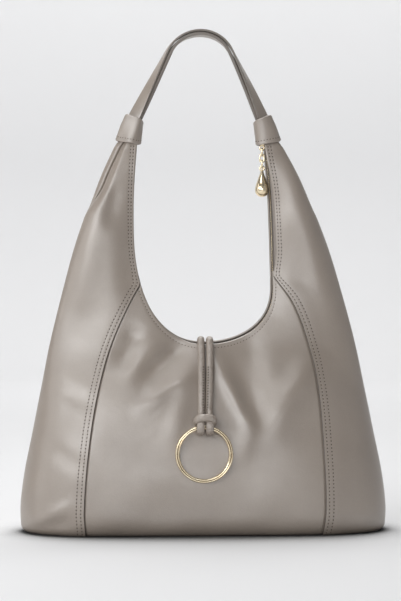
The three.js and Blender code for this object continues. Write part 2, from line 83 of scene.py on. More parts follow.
lamps = {  # place, aim, size, watts, tint
    "windowLeft": ((-1.35, -1.8, 1.0), (0.0, 0.0, 0.22), (2.0, 0.95), 23.5, (0.985, 0.995, 1.0)),
    "cardLeft": ((-2.2, -0.35, 0.85), (0.0, 0.0, 0.25), (0.8, 1.6), 5.5, (1.0, 0.99, 0.98)),
    "boxFront": ((0.0, -2.4, 0.48), (0.0, 0.0, 0.22), (1.1, 0.55), 5.8, (0.98, 0.99, 1.0)),
    "boxHigh": ((-0.55, -1.0, 1.8), (0.0, 0.0, 0.2), (1.0, 0.7), 6.5, (1.0, 1.0, 1.0)),
    "boxTop": ((-0.1, 0.45, 1.75), (0.0, 0.0, 0.1), (1.3, 0.8), 15, (1.0, 1.0, 1.0)),
    "floorWash": ((0.0, 1.9, 2.9), (0.0, 2.0, 0.0), (3.0, 1.2), 40, (1.0, 1.0, 1.0)),
    "wallWash": ((0.0, 3.0, 2.7), (0.0, 4.4, 0.5), (4.5, 0.6), 44, (1.0, 1.0, 1.0)),
}


def placeCamera():
    turn = math.radians(view["turn"])
    lens = bpy.data.cameras.new("photoLens")
    lens.lens = view["lens"]
    lens.sensor_width = view["sensor"]
    camera = bpy.data.objects.new("photoCamera", lens)
    right = Vector((math.cos(turn), math.sin(turn), 0))
    back = Vector((math.sin(turn), -math.cos(turn), 0))
    camera.location = back * view["distance"] + right * view["sideStep"] + Vector((0, 0, view["height"]))
    camera.rotation_euler = (math.radians(90), 0, turn)
    scene.collection.objects.link(camera)
    scene.camera = camera


def placeLamps():
    for name, (place, aim, size, watts, tint) in lamps.items():
        lamp = bpy.data.lights.new(name, "AREA")
        lamp.shape = "RECTANGLE"
        lamp.size, lamp.size_y = size
        lamp.energy = watts
        lamp.color = tint
        stand = bpy.data.objects.new(name, lamp)
        stand.location = place
        stand.visible_camera = False
        stand.rotation_euler = (Vector(aim) - Vector(place)).to_track_quat("-Z", "Y").to_euler()
        scene.collection.objects.link(stand)
    world = bpy.data.worlds.new("studioAir")
    world.use_nodes = True
    air = world.node_tree.nodes["Background"]
    air.inputs["Color"].default_value = (*studio["ambient"], 1)
    air.inputs["Strength"].default_value = studio["ambientPower"]
    scene.world = world
    scene.view_settings.view_transform = "Standard"


placeCamera()
placeLamps()
print("camera and lamps placed")


# materials

def newMaterial(name):
    material = bpy.data.materials.new(name)
    material.use_nodes = True
    tree = material.node_tree
    return material, tree, tree.nodes.new("ShaderNodeTexCoord").outputs["Object"]


# a link, a colour or a number into a socket
def feed(tree, socket, value):
    if isinstance(value, bpy.types.NodeSocket):
        tree.links.new(value, socket)
    else:
        socket.default_value = (*value, 1) if isinstance(value, tuple) else value


def addNode(tree, kind, settings=None, **values):
    made = tree.nodes.new(kind)
    for name, value in (settings or {}).items():
        setattr(made, name, value)
    for name, value in values.items():
        feed(tree, made.inputs[name.replace("_", " ")], value)
    return made


def finishLook(tree, **values):
    for name, value in values.items():
        feed(tree, tree.nodes["Principled BSDF"].inputs[name.replace("_", " ")], value)


def mixColour(tree, factor, first, second):
    made = addNode(tree, "ShaderNodeMix", {"data_type": "RGBA"})
    for place, value in ((0, factor), (6, first), (7, second)):
        feed(tree, made.inputs[place], value)
    return made.outputs[2]


def mapRange(tree, value, low, high, toLow=0.0, toHigh=1.0):
    ends = {"From_Min": low, "From_Max": high, "To_Min": toLow, "To_Max": toHigh}
    return addNode(tree, "ShaderNodeMapRange", None, Value=value, **ends).outputs["Result"]


def noise(tree, place, scale, detail=3.0, rough=0.55):
    values = {"Vector": place, "Scale": scale, "Detail": detail, "Roughness": rough}
    return addNode(tree, "ShaderNodeTexNoise", None, **values).outputs["Fac"]


def bump(tree, height, power, depth, **under):
    values = {"Height": height, "Strength": power, "Distance": depth, **under}
    return addNode(tree, "ShaderNodeBump", None, **values).outputs[0]


def leatherMaterial(name, look):
    material, tree, place = newMaterial(name)
    mottle = mapRange(tree, noise(tree, place, look["mottleScale"], 4.0), 0.32, 0.68)
    base = mixColour(tree, mottle, look["dark"], look["light"])
    speck = mapRange(tree, noise(tree, place, look["speckScale"], 2.0), 0.3, 0.7, 0, look["speckShare"])
    base = mixColour(tree, speck, base, look["speck"])
    bend = tree.nodes.new("ShaderNodeNewGeometry").outputs["Pointiness"]
    worn = mapRange(tree, bend, *look["wear"], 0, look["wearShare"])
    base = mixColour(tree, worn, base, look["worn"])
    gloss = noise(tree, place, look["glossScale"])
    rough = mapRange(tree, gloss, 0.3, 0.7, *look["rough"])
    cells = {"Vector": place, "Scale": look["grainScale"]}
    grain = addNode(tree, "ShaderNodeTexVoronoi", {"feature": "SMOOTH_F1"}, **cells).outputs["Distance"]
    fine = bump(tree, grain, look["grainPower"], look["grainDepth"])
    crease = noise(tree, place, look["creaseScale"], 5.0, 0.6)
    broad = bump(tree, crease, look["creasePower"], look["creaseDepth"], Normal=fine)
    finishLook(tree, Base_Color=base, Roughness=rough, Normal=broad)
    finishLook(tree, IOR=look["ior"], Specular_IOR_Level=look["sheenLevel"])
    return material


def threadMaterial(name, look):
    material, tree, place = newMaterial(name)
    twist = noise(tree, place, look["twistScale"], 2.0)
    base = mixColour(tree, mapRange(tree, twist, 0.35, 0.65), look["dark"], look["light"])
    fuzz = bump(tree, twist, look["fuzzPower"], look["fuzzDepth"])
    finishLook(tree, Base_Color=base, Roughness=look["rough"], Normal=fuzz)
    return material


# needle holes: flat dark ovals over the leather; their colour is painted shade of the holes, varied at random
# by noise
def holeMaterial(name, look):
    material, tree, place = newMaterial(name)
    shadeNoise = noise(tree, place, look["shadeNoiseScale"], 2.0)
    finishLook(tree, Base_Color=mixColour(tree, shadeNoise, look["shade"], look["rim"]), Roughness=look["rough"])
    return material


def tapeMaterial(name, look):
    material, tree, place = newMaterial(name)
    warp = {"Vector": place, "Scale": look["weaveScale"]}
    weave = addNode(tree, "ShaderNodeTexWave", {"bands_direction": "DIAGONAL"}, **warp).outputs["Fac"]
    rib = bump(tree, weave, look["ribPower"], look["ribDepth"])
    base = mixColour(tree, weave, look["dark"], look["light"])
    finishLook(tree, Base_Color=base, Roughness=look["rough"], Normal=rib)
    return material


def goldMaterial(name, look):
    material, tree, place = newMaterial(name)
    tone = noise(tree, place, look["toneScale"])
    base = mixColour(tree, mapRange(tree, tone, 0.35, 0.65), look["deep"], look["bright"])
    rough = mapRange(tree, tone, 0.3, 0.7, *look["rough"])
    scratch = noise(tree, place, look["scratchScale"], 2.0)
    fine = bump(tree, scratch, look["scratchPower"], look["scratchDepth"])
    finishLook(tree, Base_Color=base, Roughness=rough, Normal=fine, Metallic=look["metal"])
    return material


def sweepMaterial(name, look):
    material, tree, place = newMaterial(name)
    paper = noise(tree, place, look["paperScale"], 2.0)
    dull = tuple(look["paperTone"] * part for part in look["floor"])
    base = mixColour(tree, paper, dull, look["floor"])
    # painted contact shadow: the floor is darkened towards this colour where ambient occlusion finds the bag
    # close by
    near = addNode(tree, "ShaderNodeAmbientOcclusion", {"samples": 8}, Distance=look["paintedShadowReach"])
    clear = mapRange(tree, near.outputs["AO"], *look["paintedShadowOpen"])
    finishLook(tree, Base_Color=mixColour(tree, clear, look["paintedContactShadow"], base), Roughness=look["rough"])
    return material


taupeLook = {
    "light": (0.314, 0.262, 0.218),
    "dark": (0.277, 0.229, 0.190),
    "speck": (0.20, 0.17, 0.15),
    "worn": (0.43, 0.39, 0.36),
    "mottleScale": 16.0, "speckScale": 620.0, "speckShare": 0.16,
    "wear": (0.53, 0.62), "wearShare": 0.35,
    "glossScale": 38.0, "rough": (0.32, 0.42), "sheenLevel": 1.0,
    "grainScale": 1350.0, "grainPower": 0.30, "grainDepth": 0.0002,
    "creaseScale": 210.0, "creasePower": 0.22, "creaseDepth": 0.0005,
    "ior": 1.66,
}
cordLook = {
    **taupeLook, "rough": (0.42, 0.55),
    "grainScale": 430.0, "grainPower": 0.9, "grainDepth": 0.0010,
}
suedeLook = {
    **taupeLook, "light": (0.20, 0.175, 0.155), "dark": (0.15, 0.13, 0.115),
    "rough": (0.82, 0.95), "sheenLevel": 0.3,
    "grainScale": 2200.0, "grainPower": 0.6, "speckShare": 0.4, "wearShare": 0.0,
}
# dark edge strips: partly real edge paint, partly painted shade for the shadow line where a side panel laps
# over a centre panel
edgePaintAndShadeLook = {
    **taupeLook, "light": (0.105, 0.088, 0.076), "dark": (0.075, 0.062, 0.053),
    "rough": (0.45, 0.6), "wearShare": 0.0, "sheenLevel": 0.4,
}
strapEdgeLook = {**edgePaintAndShadeLook, "light": (0.20, 0.175, 0.155), "dark": (0.16, 0.14, 0.123)}
threadLook = {
    "light": (0.40, 0.355, 0.32), "dark": (0.30, 0.262, 0.232),
    "twistScale": 900.0, "rough": 0.7, "fuzzPower": 0.4, "fuzzDepth": 0.0002,
}
# painted shade of the needle holes
holeLook = {"shade": (0.075, 0.060, 0.050), "rim": (0.11, 0.09, 0.075), "shadeNoiseScale": 700.0, "rough": 0.9}
tapeLook = {
    "light": (0.37, 0.33, 0.30), "dark": (0.25, 0.22, 0.20),
    "weaveScale": 950.0, "rough": 0.85, "ribPower": 0.5, "ribDepth": 0.0003,
}
goldLook = {
    "bright": (0.96, 0.85, 0.63), "deep": (0.86, 0.70, 0.46), "rough": (0.10, 0.17),
    "toneScale": 60.0, "scratchScale": 1400.0, "scratchPower": 0.05, "scratchDepth": 0.0001, "metal": 0.85,
}
# painted shade: dark gold for the faces in the ring's groove
goldGrooveShadeLook = {
    **goldLook, "bright": (0.26, 0.18, 0.10), "deep": (0.20, 0.14, 0.08),
    "rough": (0.35, 0.45), "metal": 1.0,
}
taupe = leatherMaterial("taupeLeather", taupeLook)
cordTaupe = leatherMaterial("cordLeather", cordLook)
suede = leatherMaterial("fleshSide", suedeLook)
edgePaintAndShade = leatherMaterial("paintedEdgeAndShade", edgePaintAndShadeLook)
strapEdge = leatherMaterial("strapEdge", strapEdgeLook)
thread = threadMaterial("stitchThread", threadLook)
holeShade = holeMaterial("needleHoleShade", holeLook)
tapeWeave = tapeMaterial("zipTapeWeave", tapeLook)
gold = goldMaterial("paleGold", goldLook)
goldGrooveShade = goldMaterial("grooveGoldShade", goldGrooveShadeLook)
print("materials mixed")


# mesh helpers, all in millimetres until a piece is made

def smoothStep(value, low, high):
    t = np.clip((value - low) / (high - low), 0, 1)
    return t * t * (3 - 2 * t)


# up between the first two values and down between the last two
def upAndDown(value, start, full, ease, end):
    return smoothStep(value, start, full) * (1 - smoothStep(value, ease, end))


def bell(offset, width):
    return np.exp(-(offset / width) ** 2)


def unit(vectors):
    return vectors / np.maximum(np.linalg.norm(vectors, axis=-1, keepdims=True), 1e-9)


def around(count):
    return np.arange(count) * 2 * math.pi / count


def ovalRing(turns, across, other):
    return np.cos(turns)[:, None] * across + np.sin(turns)[:, None] * other


def newObject(name, verts, faces, materials):
    mesh = bpy.data.meshes.new(name)
    mesh.from_pydata(verts, [], faces)
    for material in materials:
        mesh.materials.append(material)
    mesh.polygons.foreach_set("use_smooth", np.ones(len(mesh.polygons), bool))
    made = bpy.data.objects.new(name, mesh)
    scene.collection.objects.link(made)
    return made


def makePiece(name, verts, faces, materials, stands=None, marks=None, slot="leather", body="bag"):
    made = newObject(name, (np.asarray(verts) * mm).tolist(), [list(map(int, f)) for f in faces], materials)
    if marks is not None:
        made.data.polygons.foreach_set("material_index", np.asarray(marks, np.int32))
    work = bmesh.new()
    work.from_mesh(made.data)
    bmesh.ops.recalc_face_normals(work, faces=work.faces)
    work.to_mesh(made.data)
    work.free()
    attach(made, body)
    if stands:
        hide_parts(stands)


def gridNormals(grid, towards):
    normal = unit(np.cross(np.gradient(grid, axis=1), np.gradient(grid, axis=0)))
    return normal * (1 if np.sum(normal * towards) > 0 else -1)


def gridFaces(rows, cols, start=0):
    i, j = np.meshgrid(np.arange(rows - 1), np.arange(cols - 1), indexing="ij")
    a = (start + i * cols + j).ravel()
    return np.stack([a, a + 1, a + cols + 1, a + cols], axis=1)


# a leather shell from its outer face, with rounded edges all round
def shell(outer, normal, thickness, rounds=4):
    rows, cols = outer.shape[:2]
    inner = outer - normal * thickness[..., None]
    across, down = np.arange(cols), np.arange(1, rows)
    i = np.concatenate([0 * across, down, np.full(cols - 1, rows - 1), down[-2::-1]])
    j = np.concatenate([across, np.full(rows - 1, cols - 1), across[-2::-1], np.zeros(rows - 2, int)])
    edgeOut, edgeIn, edgeNormal = outer[i, j], inner[i, j], normal[i, j]
    inside = outer[np.clip(i, 1, rows - 2), np.clip(j, 1, cols - 2)]
    tangent = unit(np.roll(edgeOut, -1, axis=0) - np.roll(edgeOut, 1, axis=0))
    away = unit(np.cross(tangent, edgeNormal))
    away *= np.sign(np.sum(away * (edgeOut - inside)))
    half = thickness[i, j][:, None] / 2
    middle = (edgeOut + edgeIn) / 2
    turns = np.linspace(0, math.pi, rounds + 1)[1:-1]
    rings = [middle + edgeNormal * half * math.cos(t) + away * half * math.sin(t) for t in turns]
    verts = np.concatenate([outer.reshape(-1, 3), inner.reshape(-1, 3), *rings])
    count, size = rows * cols, len(i)
    loops = [i * cols + j]
    loops += [2 * count + k * size + np.arange(size) for k in range(len(rings))]
    loops.append(count + i * cols + j)
    faces = [gridFaces(rows, cols), gridFaces(rows, cols, count)[:, ::-1]]
    marks = [np.zeros(len(faces[0]), int), np.ones(len(faces[1]), int)]
    for low, high in zip(loops[:-1], loops[1:]):
        faces.append(np.stack([low, high, np.roll(high, -1), np.roll(low, -1)], axis=1))
        marks.append(np.full(size, 2))
    return verts, np.concatenate(faces), np.concatenate(marks)


def linedPiece(name, node, grid, normal, thickness):
    verts, faces, marks = shell(grid, normal, thickness)
    makePiece(name, verts, faces, [taupe, suede, taupe], node, marks)


# rings of points joined into a closed body
def loft(rings, joined=False):
    rings = np.asarray(rings)
    count, size = rings.shape[:2]
    faces = []
    for r in range(count if joined else count - 1):
        low = r * size + np.arange(size)
        high = ((r + 1) % count) * size + np.arange(size)
        faces += np.stack([low, np.roll(low, -1), np.roll(high, -1), high], axis=1).tolist()
    if not joined:
        faces.append(list(range(size))[::-1])
        faces.append(list(range((count - 1) * size, count * size)))
    return rings.reshape(-1, 3), faces


def merged(parts):
    verts, faces, start = [], [], 0
    for partVerts, partFaces in parts:
        verts.append(np.asarray(partVerts))
        faces += [[start + int(k) for k in face] for face in partFaces]
        start += len(partVerts)
    return np.concatenate(verts), faces


def runOf(path):
    return np.concatenate([[0], np.cumsum(np.linalg.norm(np.diff(path, axis=0), axis=1))])


def sampled(values, run, at):
    return np.stack([np.interp(at, run, values[:, k]) for k in range(values.shape[1])], axis=1)


def alongPath(path, distances):
    return sampled(path, runOf(path), distances)


def catmull(points, perStep):
    points = np.asarray(points, float)
    ends = np.concatenate([[2 * points[0] - points[1]], points, [2 * points[-1] - points[-2]]])
    made = []
    for k in range(len(points) - 1):
        a, b, c, d = ends[k:k + 4]
        for t in np.arange(perStep) / perStep:
            curve = (2 * a - 5 * b + 4 * c - d) * t * t + (3 * b - a - 3 * c + d) * t ** 3
            made.append(0.5 * (2 * b + (c - a) * t + curve))
    made.append(points[-1])
    return np.array(made)


# an oval cord along a path: its wide half, its thin half and the way that the wide half lies
def ovalCord(path, wide, thin, lie, sides):
    rings = []
    for centre, along, w, t, across in zip(path, unit(np.gradient(path, axis=0)), wide, thin, lie):
        across = unit(across - along * np.dot(across, along))
        rings.append(centre + ovalRing(around(sides), w * across, t * np.cross(along, across)))
    return loft(rings)


# stitches: threads that dive into needle holes, drawn as flat ovals of painted shade
stitch = {
    "length": 0.44, "width": 0.62, "rise": 0.20, "edge": 0.05, "dive": 0.42, "sides": 6, "step": 0.4,
    "along": (-1, -0.72, 0, 0.72, 1), "girth": (0.5, 0.9, 1.0, 0.9, 0.5),
    "holeLength": 1.7, "holeWidth": 1.35, "holeLift": 0.12,
}


def stitchRow(path, normals, pitch, size=1.0):
    run = runOf(path)
    count = max(int(run[-1] / pitch), 1)
    gap = run[-1] / count
    turns = around(stitch["sides"])

    def framesAt(at):
        ahead, behind = (sampled(path, run, at + step) for step in (stitch["step"], -stitch["step"]))
        along, up = unit(ahead - behind), unit(sampled(normals, run, at))
        return zip(sampled(path, run, at), along, up, np.cross(along, up))

    reach = np.array(stitch["along"]) * stitch["length"] * gap / 2
    lift = (-stitch["dive"], stitch["edge"], stitch["rise"], stitch["edge"], -stitch["dive"])
    girth = np.array(stitch["girth"]) * stitch["width"] / 2 * size
    threads, holes = [], []
    for place, along, up, across in framesAt((np.arange(count) + 0.5) * gap):
        section = ovalRing(turns, across, up)
        rows = [place + along * r + up * h + section * g for r, h, g in zip(reach, lift, girth)]
        threads.append(loft(rows))
    for place, along, up, across in framesAt(np.arange(count + 1) * gap):
        oval = ovalRing(turns, along * stitch["holeLength"], across * stitch["holeWidth"])
        holes.append((place + up * stitch["holeLift"] + oval * size / 2, [list(range(stitch["sides"]))]))
    return threads, holes


def sewRows(name, rows):
    threads = [part for rowThreads, rowHoles in rows for part in rowThreads]
    holes = [part for rowThreads, rowHoles in rows for part in rowHoles]
    makePiece(name + "_stitches", *merged(threads), [thread])
    makePiece(name + "_needle_hole_shade", *merged(holes), [holeShade])
    print(name, "sewn:", len(threads), "stitches")


# body shape: the solids' sections and seams, with finer folds

def table(columns, *rows):
    return {name: np.array([row[k] for row in rows], float) for k, name in enumerate(columns.split())}


bodySections = table(
    "height halfWidth halfDepth squareness",
    (0, 187, 64, 5),
    (26, 188, 65, 5),
    (60, 184, 64, 4.6),
    (100, 176, 58.5, 4),
    (145, 167, 47, 3.5),
    (192, 157.5, 28, 3.2),
    (243, 144.5, 23.5, 3.4),
    (292, 130.5, 21.5, 4.5),
    (342, 112, 18, 8),
    (366, 102, 14.5, 12),
    (388, 90.8, 9.5, 20),
    (396, 86.4, 6.7, 25),
    (399.5, 83, 6.2, 26),
    (403, 80.9, 6.2, 26),
    (412, 77.6, 6.2, 26),
)
seamLines = table(
    "height left right",
    (0, 121.8, 116.6),
    (26, 123.6, 119.6),
    (85, 119, 118.4),
    (140, 110, 115.2),
    (190, 96, 107.4),
    (235, 75.5, 91.5),
    (268, 55, 67.5),
)
frontFolds = table(
    "fromX fromZ toX toZ width rise",
    (10, 178, 42, 112, 7, 3.4),
    (25, 184, 51, 120, 10, -2.3),
    (44, 192, 52, 118, 15, -4.0),
    (108, 172, 64, 106, 15, 4.8),
    (44, 122, 36, 80, 9, 2.0),
    (-24, 190, -62, 158, 11, -5.4),
    (-46, 188, -80, 158, 9, 1.2),
    (-70, 206, -86, 170, 11, -3.4),
    (-20, 160, -64, 128, 9, 3.8),
    (-16, 160, -38, 94, 10, 2.4),
    (-103, 356, -128, 236, 13, 4.2),
    (-73, 352, -73, 232, 15, -5.0),
    (-88, 352, -95, 316, 9, -3.2),
    (98, 354, 146, 196, 18, 6.0),
    (66, 348, 68, 240, 15, -5.6),
    (-182, 9, -140, 30, 6, 2.4),
    (-172, 1, -134, 15, 8, -3.0),
    (-160, 152, -114, 130, 9, -1.3),
    (-168, 94, -122, 68, 10, -1.3),
)
softWaves = table(  # slow waves that keep the leather from looking stretched flat
    "alongX alongZ shift height",
    (0.061, 0.034, 0.4, 0.40),
    (-0.043, 0.071, 1.9, 0.34),
    (0.094, -0.052, 4.1, 0.22),
    (0.027, 0.108, 2.7, 0.20),
)
body = {
    "leather": 1.8, "footHeight": 20.0, "footFront": 10.0, "footSide": 7.0, "lean": 5.4, "leanHeight": 397.0,
    "tuckDepth": 7.0, "tuckReach": 24.0, "tuckFade": (330.0, 392.0),
    "foldDepth": 20.0, "foldShares": (-0.3, 0.25, 0.6, 1.35),  # where a fold rises and fades along its line
    "neckTop": 408.0,
}
scoop = {
    "bottom": 192.0, "squareness": 2.2, "neckHeight": 397.0, "widestLeft": 303.0, "widestRight": 250.0,
    "halfLeft": 70.6, "halfRight": 72.4, "neckLeft": 64.6, "neckRight": 69.0,
    "searchBelow": 5.0, "searchAbove": 91.0, "searchSteps": 50,
}
pleat = {
    "tuck": 8.0, "valley": 7.0, "heights": (322.0, 356.0, 397.0, 410.0), "rounds": (-0.2, 0.0, 0.32, 0.8),
    "groove": 0.03, "lobe": 3.0, "lobeAt": -0.085, "lobeWidth": 0.06, "sink": 5.0,
}
cutBack = {"amount": 4.5, "heights": (252.0, 288.0, 338.0, 398.0)}  # right front rim


def column(rows, name, z):
    at, values = rows["height"], rows[name]
    last = len(at) - 1
    below = np.maximum(np.arange(last + 1) - 1, 0)
    above = np.minimum(np.arange(last + 1) + 1, last)
    slope = (values[above] - values[below]) / (at[above] - at[below])
    i = np.clip(np.searchsorted(at, z) - 1, 0, last - 1)
    step = at[i + 1] - at[i]
    t = (z - at[i]) / step
    curve = values[i] + (values[i + 1] - values[i]) * t * t * (3 - 2 * t)
    return curve + slope[i] * step * t * (1 - t) ** 2 - slope[i + 1] * step * t * t * (1 - t)


def footInset(z, height, reach):
    below = np.maximum(1 - z / height, 0)
    return reach * (1 - np.sqrt(np.maximum(1 - below * below, 0)))


def halfWidthAt(z):
    return column(bodySections, "halfWidth", z) - footInset(z, body["footSide"], body["footSide"])


def leanAt(z):
    return -body["lean"] * np.minimum(z / body["leanHeight"], 1) ** 3


def sided(name, side):
    return np.where(np.asarray(side) < 0, scoop[name + "Left"], scoop[name + "Right"])


def rimAt(z, side):
    widest, half, neck = sided("widest", side), sided("half", side), sided("neck", side)
    up = np.maximum((z - widest) / (scoop["neckHeight"] - widest), 0)
    drop = np.clip((widest - z) / (widest - scoop["bottom"]), 0, 1)
    power = scoop["squareness"]
    return np.where(z >= widest, half + (neck - half) * up * up, half * (1 - drop ** power) ** (1 / power))


def rimLevel(x, z):
    widest, half, power = sided("widest", x), sided("half", x), scoop["squareness"]
    drop = np.maximum((widest - z) / (widest - scoop["bottom"]), 0)
    low = ((np.abs(x) / half) ** power + drop ** power) ** (1 / power)
    return np.where(z >= widest, np.abs(x) / rimAt(z, x), low)


def fromRim(x, z):
    return (rimLevel(x, z) - 1) * (sided("widest", x) - scoop["bottom"])


def seamAt(z, side):
    return np.where(np.asarray(side) < 0, column(seamLines, "left", z), column(seamLines, "right", z))


def rimHeight(share):
    low = np.full(share.shape, scoop["bottom"] - scoop["searchBelow"])
    high = np.full(share.shape, scoop["bottom"] + scoop["searchAbove"])
    for _ in range(scoop["searchSteps"]):
        z = (low + high) / 2
        outside = rimLevel(share * seamAt(z, share), z) > 1
        low, high = np.where(outside, z, low), np.where(outside, high, z)
    return low


def foldRise(x, z):
    rise = 0
    for fromX, fromZ, toX, toZ, width, height in zip(*frontFolds.values()):
        alongX, alongZ = toX - fromX, toZ - fromZ
        length = math.hypot(alongX, alongZ)
        along = ((x - fromX) * alongX + (z - fromZ) * alongZ) / length ** 2
        off = ((x - fromX) * alongZ - (z - fromZ) * alongX) / length
        rise = rise + height * upAndDown(along, *body["foldShares"]) * bell(off, width)
    return rise


def softness(x, z):
    return sum(h * np.sin(a * x + b * z + s) for a, b, s, h in zip(*softWaves.values()))


def wallDepth(x, z, share, front):
    power = column(bodySections, "squareness", z)
    edge = np.sqrt(np.maximum(1 - np.minimum(share, 1) ** power, 0))
    straight = column(bodySections, "halfDepth", z) - footInset(z, body["footHeight"], body["footFront"])
    plain = straight * edge
    fade = 1 - smoothStep(z, *body["tuckFade"])
    tuck = body["tuckDepth"] * fade * np.exp(-fromRim(x, z) / body["tuckReach"])
    whole = np.minimum(plain / body["foldDepth"], 1) * smoothStep(z, 0, body["footHeight"])
    relief = softness(x, z) + np.where(front, foldRise(x, z), 0)
    return plain - tuck * edge + relief * whole


def wall(x, z, front, reach=1.0):
    depth = wallDepth(x, z, np.minimum(np.abs(x) / halfWidthAt(z), reach), front)
    return np.stack(np.broadcast_arrays(x + leanAt(z), -depth if front else depth, z), axis=-1)


# centre panels, front and back
rimRoll = {
    "steps": (0, 0.6, 1.3, 2.2, 3.1, 4.0, 4.9, 6.2, 8.0, 10.5, 13.5),  # from the rim down
    "stitchStep": 5, "channel": 0.18, "channelWidth": 1.4, "roll": 0.9, "rollFade": 2.5, "beyond": 99.0,
    "pitch": 3.4, "stitchSize": 0.75,
    "frontDrop": -1.0, "backRise": 1.2,  # at the scoop's lowest part
}
centre = {
    "columns": 150, "edgeColumns": 14, "rows": 70, "underlap": 0.045, "dense": 220, "footShare": 0.25,
    "groove": 0.8, "grooveFrom": 0.6, "grooveWidth": 1.3, "grooveFade": (250.0, 268.0),
}


def rowHeight(up, top):
    foot, footShare = body["footHeight"], centre["footShare"]
    low = foot * (1 - np.cos(np.minimum(up / footShare, 1) * math.pi / 2))
    high = foot + (top - foot) * (up - footShare) / (1 - footShare)
    return np.where(up <= footShare, low, high)


def centreGrid(front):
    near = 1 - centre["underlap"]  # columns crowd at the seams
    edge = np.linspace(near, 1 + centre["underlap"], centre["edgeColumns"])
    across = np.concatenate([-edge[::-1], np.linspace(-near, near, centre["columns"])[1:-1], edge])
    up = np.linspace(0, 1, centre["dense"])
    steps = np.array(rimRoll["steps"])
    columns = []
    shift = (rimRoll["frontDrop"] if front else rimRoll["backRise"]) * np.maximum(1 - across * across, 0)
    for share, top in zip(across, rimHeight(across) + shift):
        z = rowHeight(up, top)
        path = wall(share * seamAt(z, share), z, front)[::-1]
        rest = np.linspace(steps[-1], runOf(path)[-1], centre["rows"])[1:]
        columns.append(alongPath(path, np.concatenate([steps, rest])))
    return np.stack(columns, axis=1), steps, across


def centrePanel(front, name, node):
    grid, steps, across = centreGrid(front)
    normal = gridNormals(grid, -yAxis if front else yAxis)
    fromTop = np.append(steps, np.full(len(grid) - len(steps), rimRoll["beyond"]))
    row = rimRoll["stitchStep"]
    channel = rimRoll["channel"] * bell(fromTop - steps[row], rimRoll["channelWidth"])
    z = grid[..., 2]
    fromLap = (1 - np.abs(across)) * seamAt(z, across) - centre["grooveFrom"]
    fade = 1 - smoothStep(z, *centre["grooveFade"])
    groove = centre["groove"] * fade * bell(fromLap, centre["grooveWidth"])
    grid = grid - normal * (channel[:, None] + groove)[..., None]
    thick = body["leather"] + rimRoll["roll"] * np.exp(-fromTop / rimRoll["rollFade"])
    linedPiece(name, node, grid, normal, np.repeat(thick[:, None], grid.shape[1], axis=1))
    seen = slice(centre["edgeColumns"], -centre["edgeColumns"])
    return stitchRow(grid[row, seen], normal[row, seen], rimRoll["pitch"], rimRoll["stitchSize"])


rimRows = [centrePanel(True, "front_leather", "front_panel")]
rimRows.append(centrePanel(False, "back_leather", "back_panel"))
print("centre panels cut")


# side panels: wrapped from the front seam round to the rear one, lapped over the centre panels
lap = {
    "steps": (0, 0.5, 1.1, 2.0, 3.0, 4.0, 5.2, 6.5, 7.6, 8.7, 10.5, 13.0, 16.0),  # from the edge in
    "stitchSteps": (4, 8), "channel": 0.18, "channelWidth": 1.4, "pitch": 3.6, "paintAndShadeTo": 262.0,
    "lift": 1.3, "liftEase": (2.0, 34.0), "over": 0.3, "fade": (245.0, 268.0),
    "rimScale": 0.64, "mostShare": 0.30, "edgeThin": 0.45, "edgeFade": 3.0,
}
side = {"middle": 110, "rows": 112, "footRows": 9, "dense": 500, "insideX": 95.0, "sewnRows": (3, -4)}


def lappedAt(z):
    return 1 - smoothStep(z, *lap["fade"])


def sideCurve(which, rounds, z):
    halfWidth = halfWidthAt(z)
    rim = rimAt(z, which)
    seamed = z < seamLines["height"][-1]
    inner = np.where(seamed, np.maximum(seamAt(z, which), rim), rim) - lap["over"] * lappedAt(z)
    cut = cutBack["amount"] * upAndDown(z, *cutBack["heights"])
    inner = inner + np.where((rounds < 0) & (which > 0), cut, 0)
    share = 1 - (1 - inner / halfWidth) * rounds * rounds
    depth = wallDepth(which * share * halfWidth, z, share, rounds < 0)
    fromTucked = rounds * which
    amount = upAndDown(z, *pleat["heights"])
    crease = bell(fromTucked, pleat["groove"])
    tuck = pleat["tuck"] * upAndDown(fromTucked, *pleat["rounds"]) + pleat["valley"] * crease
    x = share * halfWidth - amount * tuck
    outward = np.where(rounds < 0, -1, 1)
    if which < 0:
        lobe = pleat["lobe"] * bell(fromTucked - pleat["lobeAt"], pleat["lobeWidth"])
        depth = depth + outward * amount * (pleat["sink"] * crease - lobe)
    return np.stack([which * x + leanAt(z), outward * depth, np.full_like(x, z)], axis=1)


